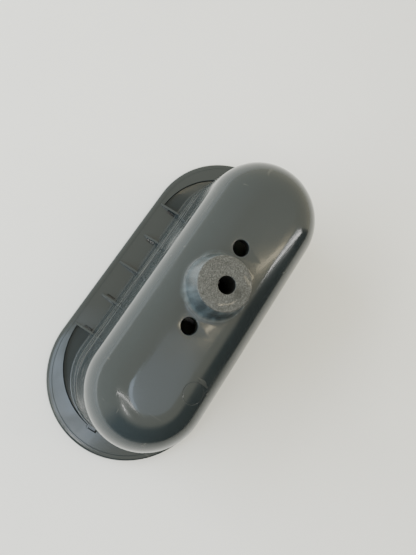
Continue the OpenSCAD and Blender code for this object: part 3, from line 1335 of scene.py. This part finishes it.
@dataclass
class Diaphragm:
    """The rubber membrane: clamped edge, soft flank with a fold, raised middle.

    Attributes:
        low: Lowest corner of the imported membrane.
        high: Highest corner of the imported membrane.
    """

    low: Vector
    high: Vector
    thick: float = 1.4 * MM
    flank_out: float = 13.8 * MM
    flank_in: float = 11.6 * MM

    def build(self, screw_places: Sequence[Matrix], screw_r: float) -> bpy.types.Object:
        """Models the membrane.

        Args:
            screw_places: Where the screws pass through its edge.
            screw_r: Radius of a screw.

        Returns:
            The membrane.
        """
        rim = self.high.y
        middle_z = self.high.z - self.thick
        under = [
            Corner(0, middle_z),
            Corner(0.5 * self.flank_in, middle_z),
            Corner(self.flank_in, middle_z, 1.2 * MM),
            Corner(self.flank_out, self.low.z, 1.2 * MM),
            Corner(rim, self.low.z, 0.2 * MM),
        ]
        over = [Corner(c.out, c.height + self.thick, c.radius) for c in reversed(under)]
        section = rounded([*under, *over], 12)
        membrane = Stadium(self.high.x - rim, 48, 10).sweep("diaphragm_membrane", section)
        hole_r = screw_r + 0.05 * MM
        low, high = self.low.z - 1 * MM, self.low.z + self.thick + 1 * MM
        section = [Vector((0, low)), Vector((hole_r, low)), Vector((hole_r, high)), Vector((0, high))]
        hole = lathe("screw_hole", section, Vector((0, 0, 0)), 24)
        combine(membrane, stamp("screw_holes", hole, screw_places), Join.CUT)
        smooth(membrane)
        return membrane

    def hang(self, membrane: bpy.types.Object) -> None:
        """Bakes the membrane's placement into its mesh and hides the imported membrane.

        Args:
            membrane: The finished membrane.
        """
        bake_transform(membrane)
        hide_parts("suction_diaphragm")
        LOG.info("%s: %d faces", membrane.name, len(membrane.data.polygons))


@dataclass
class ClampRing:
    """The ring that clamps the diaphragm, with its eight screws.

    Attributes:
        low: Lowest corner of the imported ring.
        high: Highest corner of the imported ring.
        screw_high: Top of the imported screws.
    """

    low: Vector
    high: Vector
    screw_high: float
    in_r: float = 14.2 * MM
    head_r: float = 2.6 * MM
    head_t: float = 1.4 * MM
    shank_r: float = 1.48 * MM
    core_r: float = 1.1 * MM
    pitch: float = 0.9 * MM

    def build_ring(self, screw_places: Sequence[Matrix]) -> bpy.types.Object:
        """Models the ring with a counterbored hole for each screw.

        Args:
            screw_places: Where the screws go.

        Returns:
            The ring.
        """
        out_r = self.high.y
        edge = 0.35 * MM
        corners = [
            Corner(self.in_r, self.low.z, edge),
            Corner(out_r, self.low.z, edge),
            Corner(out_r, self.high.z, 0.15 * MM),
            Corner(self.in_r, self.high.z, 0.15 * MM),
        ]
        section = rounded(corners, closed=True)
        ring = Stadium(self.high.x - out_r, 48, 10).sweep("clamp_ring", section, closed=True)
        under = self.low.z - 1 * MM
        step = self.low.z + self.head_t + 0.02 * MM
        over = self.high.z + 1 * MM
        wide, narrow = self.head_r + 0.05 * MM, self.shank_r + 0.06 * MM
        flared = wide + 0.3 * MM
        section = [(0, under), (flared, under), (flared, self.low.z), (wide, self.low.z + 0.3 * MM),
                   (wide, step), (narrow, step), (narrow, over), (0, over)]
        hole = lathe("counterbore", [Vector(point) for point in section], Vector((0, 0, 0)), 32)
        combine(ring, stamp("counterbores", hole, screw_places), Join.CUT)
        smooth(ring)
        return ring

    def build_screws(self, screw_places: Sequence[Matrix]) -> bpy.types.Object:
        """Models one self-tapping screw and copies it to every post.

        Args:
            screw_places: Where the screws go.

        Returns:
            All the screws, in one object.
        """
        head_z = self.low.z + self.head_t
        corners = [
            Corner(0, self.low.z),
            Corner(self.head_r - 0.2 * MM, self.low.z, 0.5 * MM),
            Corner(self.head_r, head_z - 0.25 * MM, 0.2 * MM),
            Corner(self.head_r, head_z, 0.1 * MM),
            Corner(self.core_r, head_z),
        ]
        section = rounded(corners)
        tip = self.screw_high - 1.2 * MM
        turns = int((tip - head_z) / self.pitch)
        for k in range(turns):
            low = head_z + 0.2 * MM + k * self.pitch
            section += [Vector((self.core_r, low)), Vector((self.shank_r, low + 0.35 * self.pitch)),
                        Vector((self.shank_r, low + 0.45 * self.pitch)),
                        Vector((self.core_r, low + 0.8 * self.pitch))]
        section += [Vector((0.4 * MM, self.screw_high - 0.1 * MM)), Vector((0, self.screw_high))]
        screw = lathe("screw", section, Vector((0, 0, 0)), 24)
        bpy.ops.object.select_all(action="DESELECT")
        bpy.ops.mesh.primitive_cylinder_add(
            vertices=6, radius=1.15 * MM, depth=2 * MM, location=(0, 0, self.low.z)
        )
        recess = bpy.context.object
        bake_place(recess)
        with editing(recess):
            pick(recess, lambda place: place.z > self.low.z)
            bpy.ops.mesh.inset(thickness=0.12 * MM)
        combine(screw, recess, Join.CUT)
        close_up(screw)
        screws = stamp("clamp_screw_set", screw, screw_places)
        smooth(screws)
        return screws


@dataclass
class ReturnSpring:
    """The compression spring between the plate and its seat, with closed end turns.

    Attributes:
        low: Where the spring's lowest turn rests.
        high: Where its highest turn ends.
        axis: A point on the spring's axis.
    """

    low: float
    high: float
    axis: Vector
    coil_r: float = 8.9 * MM
    wire_r: float = 0.8 * MM
    turns: int = 7
    steps: int = 28

    def build(self) -> bpy.types.Object:
        """Models the coil as a wire that follows a helix.

        Returns:
            The spring.
        """
        line = bpy.data.curves.new("spring_line", "CURVE")
        line.dimensions = "3D"
        line.bevel_depth = self.wire_r
        line.bevel_resolution = 3
        line.use_fill_caps = True
        spline = line.splines.new("POLY")
        count = self.turns * self.steps
        spline.points.add(count)
        bottom, top = self.low + self.wire_r, self.high - self.wire_r
        for k, point in enumerate(spline.points):
            share = k / count
            angle = FULL_TURN * self.turns * share
            height = bottom + (top - bottom) * self._climb(share)
            x = self.axis.x + self.coil_r * math.cos(angle)
            y = self.axis.y + self.coil_r * math.sin(angle)
            point.co = (x, y, height, 1)
        spring = bpy.data.objects.new("coil_spring", line)
        bpy.context.scene.collection.objects.link(spring)
        use(spring)
        bpy.ops.object.convert(target="MESH")
        spring = bpy.context.object
        close_up(spring)
        smooth(spring, 50)
        return spring

    def _climb(self, share: float) -> float:
        """Works out how far up the spring a share of its wire has come; the end turns lie flat.

        Args:
            share: Share of the wire's length, from 0 to 1.

        Returns:
            The share of the spring's height.
        """
        dead = 0.6 / self.turns
        pressed = 2 * self.wire_r / (self.high - self.low) * 0.6
        if share < dead:
            return pressed * share / dead
        if share > 1 - dead:
            return 1 - pressed * (1 - share) / dead
        return pressed + (1 - 2 * pressed) * (share - dead) / (1 - 2 * dead)


@dataclass
class PlungerParts:
    """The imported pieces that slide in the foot, and the finishes of the hidden metal and plastic.

    Attributes:
        nodes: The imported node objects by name.
        axis: A point on the stem's axis.
    """

    nodes: dict[str, bpy.types.Object]
    axis: Vector

    def dress_all(self) -> None:
        """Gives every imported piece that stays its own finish."""
        black = TurnedSteel("black_oxide_steel_and_bore_shade", (0.022, 0.022, 0.024), 0.34, self.axis).material()
        zinc = TurnedSteel("zinc_plated_steel", (0.62, 0.63, 0.65), 0.24, self.axis).material()
        plate = MattePlastic("natural_plate_plastic", (0.55, 0.55, 0.52), 0.5).material()
        bush = MattePlastic("white_bush_plastic", (0.72, 0.72, 0.69), 0.36).material()
        finishes = {
            # The stem's black stands partly for painted shade, so the lever bore reads black down to it;
            # the circlip is blackened steel.
            "draw_stem": black,
            "stem_circlip": black,
            "stem_washer": zinc,
            "stem_nut": zinc,
            "spring_seat": zinc,
            "pressure_plate": plate,
            "stem_bush": bush,
        }
        for node, finish in finishes.items():
            dress(self.nodes[node], finish)
            LOG.info("%s: packed piece, dressed in %s", node, finish.name)


# ---------------------------------------------------------------- studio


class LampShape(Enum):
    """Outlines of a lamp's face."""

    SOFT_BOX = "RECTANGLE"
    ROUND = "ELLIPSE"


@dataclass
class Lamp:
    """A soft lamp that faces the part.

    Attributes:
        name: Name of the lamp.
        towards: Direction from the part to the lamp.
        distance: Distance of the lamp.
        size: Length and width of its face.
        power: Its power in watts.
        colour: Its colour.
        along: Direction that its face's length lies in.
        shape: Outline of its face.
    """

    name: str
    towards: Vector
    distance: float
    size: tuple[float, float]
    power: float
    colour: tuple[float, float, float] = (1, 1, 1)
    along: Vector = Vector((1, 0, 0))
    shape: LampShape = LampShape.SOFT_BOX

    def place(self, target: Vector) -> bpy.types.Object:
        """Adds the lamp to the scene.

        Args:
            target: The point that the lamp faces.

        Returns:
            The lamp's object.
        """
        light = bpy.data.lights.new(self.name, "AREA")
        light.shape = self.shape.value
        light.size, light.size_y = self.size
        light.energy = self.power
        light.color = self.colour
        lamp = bpy.data.objects.new(self.name, light)
        bpy.context.scene.collection.objects.link(lamp)
        back = self.towards.normalized()
        across = (self.along - back * self.along.dot(back)).normalized()
        lamp.matrix_world = axes(across, back.cross(across), back, target + back * self.distance)
        return lamp


def bearing(turn: float, rise: float) -> Vector:
    """Works out a direction.

    Args:
        turn: Angle from +X towards +Y, in degrees.
        rise: Angle above the table, in degrees.

    Returns:
        The direction, one long.
    """
    around, up = math.radians(turn), math.radians(rise)
    return Vector((math.cos(around) * math.cos(up), math.sin(around) * math.cos(up), math.sin(up)))


def axes(x: Vector, y: Vector, z: Vector, at: Vector) -> Matrix:
    """Returns the placement whose axes are x, y and z.

    Args:
        x: Direction of the first axis.
        y: Direction of the second axis.
        z: Direction of the third axis.
        at: The origin.

    Returns:
        The placement.
    """
    placement = Matrix((x, y, z)).transposed().to_4x4()
    placement.translation = at
    return placement


@dataclass
class Studio:
    """Table, lamps and camera.

    Attributes:
        crown: Point over the middle of the part, at the height of its top.
        table_side: Side of the table top.
    """

    crown: Vector
    table_side: float = 2.4

    def set_up(self) -> None:
        """Places everything that isn't part of the object."""
        self._table()
        self._sky()
        self._dark_side()
        self._lamps()
        self._camera()

    def _table(self) -> None:
        """Lays the table top under the part."""
        bpy.ops.object.select_all(action="DESELECT")
        bpy.ops.mesh.primitive_plane_add(size=self.table_side, location=(0, 0, 0))
        table = bpy.context.object
        table.name = "table_top"
        dress(table, TableTop().material())
        table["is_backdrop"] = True

    def _sky(self) -> None:
        """Lights the room softly from all round."""
        world = bpy.data.worlds.new("soft_room")
        bpy.context.scene.world = world
        world.use_nodes = True
        background = world.node_tree.nodes["Background"]
        background.inputs["Color"].default_value = (1.0, 0.955, 0.75, 1)
        background.inputs["Strength"].default_value = 1.35

    def _dark_side(self) -> None:
        """Stands a dark curved screen on the side of the room that the gloss shows as dark."""
        ends = (148, 304)
        steps = 18
        turns = [math.radians(ends[0] + (ends[1] - ends[0]) * k / steps) for k in range(steps + 1)]
        reach, height = 1.12, 1.5
        arc = [Vector((reach * math.cos(turn), reach * math.sin(turn), 0.01)) for turn in turns]
        screen = draw_line("dark_screen", arc, closed=False)
        with editing(screen):
            bpy.ops.mesh.select_all(action="SELECT")
            bpy.ops.mesh.extrude_region_move(TRANSFORM_OT_translate={"value": (0, 0, height)})
        dress(screen, ScreenCloth(top=height, far_x=reach * 0.62, far_y=reach * 0.5).material())
        screen.visible_camera = False
        screen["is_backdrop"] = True

    def _lamps(self) -> None:
        """Places the lamps whose reflections lie on the gloss, by bearing and elevation."""
        target = Vector((0, 0, self.crown.z / 2))
        cool, warm, white = (0.84, 0.92, 1.0), (1.0, 0.86, 0.58), (1.0, 0.99, 0.96)
        bars = [
            ("window_bar_a", (298.5, 24), (298.5, 47), 0.020, 0.75, white),
            ("window_bar_b", (302.0, 28), (300.5, 44), 0.008, 0.20, white),
            ("warm_bar", (303, 47), (322, 66), 0.028, 0.42, warm),
            ("warm_bar_far", (309, 70), (301, 74), 0.012, 0.10, warm),
            ("hook_bar_a", (136, 56), (215, 75), 0.018, 0.9, white),
            ("hook_bar_b", (164, 61), (184, 57), 0.016, 0.6, white),
        ]
        for name, start, end, width, power, colour in bars:
            first, last = bearing(*start), bearing(*end)
            middle = (first + last) / 2
            size = ((last - first).length, width)
            Lamp(name, middle, middle.length, size, power, colour, last - first).place(target)
        key = Lamp("key_window", Vector((-0.45, 0.86, 0.40)), 1.0, (1.3, 0.7), 26, cool).place(target)
        key.visible_glossy = False
        haze = Lamp("haze_panel", Vector((-0.10, -0.075, 1.0)), 1.2, (0.30, 0.17), 0.62, (0.62, 0.78, 1.0),
                    Vector((0.6, 0.8, 0)), LampShape.ROUND)
        haze.place(target)
        ceiling = Lamp("ceiling_panel", Vector((0.0, -0.20, 0.98)), 1.2, (0.30, 0.24), 0.17,
                       (0.62, 0.74, 1.0), Vector((1, 0.2, 0)), LampShape.ROUND)
        ceiling.place(target)

    def _camera(self) -> None:
        """Places the camera over the foot, low end of X nearest."""
        eye = self.crown + Vector((-39.4, 36.7, 157.2)) * MM
        aim = self.crown + Vector((3.3, 6.3, -9.7)) * MM
        up = Vector((0.805, 0.585, 0.099))
        back = (eye - aim).normalized()
        right = up.cross(back).normalized()
        lens = bpy.data.cameras.new("camera")
        lens.sensor_width = 36
        lens.lens = 35.03
        lens.clip_start = 0.01
        camera = bpy.data.objects.new("camera", lens)
        bpy.context.scene.collection.objects.link(camera)
        camera.matrix_world = axes(right, back.cross(right), back, eye)
        bpy.context.scene.camera = camera


# ---------------------------------------------------------------- assembly


def corners_of(node: str) -> tuple[Vector, Vector]:
    """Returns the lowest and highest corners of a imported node."""
    low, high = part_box(node)
    return Vector(low), Vector(high)


def mount(frame: dict[str, Any], name: str) -> tuple[Vector, dict[str, float]]:
    """Finds one of the record's mounts.

    Args:
        frame: The loaded frame.
        name: The mount's name.

    Returns:
        The mount's place and its dimensions.
    """
    found = next(item for item in frame["record"]["mounts"] if item["name"] == name)
    return Vector(found["pos_m"]), found["dims"]


def build_foot(frame: dict[str, Any]) -> Housing:
    """Builds and dresses the pieces that stay still.

    Args:
        frame: The loaded frame.

    Returns:
        The housing's sizes.
    """
    bore, bore_dims = mount(frame, "lever_bore")
    holes, hole_dims = mount(frame, "handle_holes")
    housing = Housing(
        *corners_of("housing"),
        bore=bore,
        bore_r=bore_dims["r_mm"] * MM,
        holes=holes,
        hole_r=hole_dims["hole_r_mm"] * MM,
        hole_pitch=hole_dims["spacing_x_mm"] * MM,
    )
    shell = housing.build()
    reach = Vector((housing.hole_pitch / 2, 0, 0))
    gloss = GlossMoulding(
        pigment=(0.0180, 0.0235, 0.0265),
        dust=(0.17, 0.163, 0.145),
        face_z=housing.high.z,
        foot_z=housing.border_z,
        wall_top_z=housing.top - housing.round_r,
        boss=Vector((holes.x, holes.y, housing.top)),
        boss_r=housing.boss_base_r + housing.blend_r,
        holes=(
            (bore, housing.bore_r, housing.high.z),
            (holes - reach, housing.hole_r, housing.top),
            (holes + reach, housing.hole_r, housing.top),
        ),
        gate=bore + Vector((0.2, -4.6, 0)) * MM,
    )
    dress(shell, gloss.material())
    install(shell, "housing", "foot")

    seal = RimSeal(*corners_of("rim_seal")).build()
    dress(seal, SoftRubber("seal_rubber", (0.028, 0.028, 0.030), 0.15).material())
    install(seal, "rim_seal", "foot")

    clamp = ClampRing(*corners_of("clamp_frame"), screw_high=corners_of("clamp_screws")[1].z)
    ring = clamp.build_ring(housing.post_places())
    dress(ring, MattePlastic("dark_frame_plastic", (0.045, 0.050, 0.055), 0.46).material())
    install(ring, "clamp_frame", "foot")
    screws = clamp.build_screws(housing.post_places())
    dress(screws, TurnedSteel("plated_screw_steel", (0.60, 0.61, 0.63), 0.26, Vector((0, 0, 0))).material())
    install(screws, "clamp_screws", "foot")
    return housing


def build_moving(frame: dict[str, Any], housing: Housing) -> None:
    """Builds and dresses the pieces that slide or change shape.

    Args:
        frame: The loaded frame.
        housing: The housing's sizes.
    """
    diaphragm = Diaphragm(*corners_of("suction_diaphragm"))
    membrane = diaphragm.build(housing.post_places(), housing.pilot_r)
    dress(membrane, SoftRubber("diaphragm_rubber", (0.034, 0.034, 0.037), 0.1).material())
    diaphragm.hang(membrane)

    low, high = corners_of("return_spring")
    spring_parts = ReturnSpring(low.z, high.z, housing.bore)
    spring = spring_parts.build()
    dress(spring, TurnedSteel("drawn_spring_wire", (0.38, 0.39, 0.40), 0.28, housing.bore).material())
    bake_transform(spring)
    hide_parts("return_spring")
    LOG.info("%s: %d faces", spring.name, len(spring.data.polygons))

    PlungerParts(frame["nodes"], housing.bore).dress_all()


def main() -> None:
    """Builds the object and its studio in order."""
    logging.basicConfig(level=logging.INFO, format="%(message)s")
    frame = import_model()
    cad_box = [list(corner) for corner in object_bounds()]
    lowest, highest = (Vector(corner) for corner in cad_box)
    housing = build_foot(frame)
    build_moving(frame, housing)
    middle = (lowest + highest) / 2
    Studio(Vector((middle.x, middle.y, highest.z))).set_up()
    LOG.info("built %d pieces", len(bpy.data.meshes))


if __name__ == "__main__":
    main()
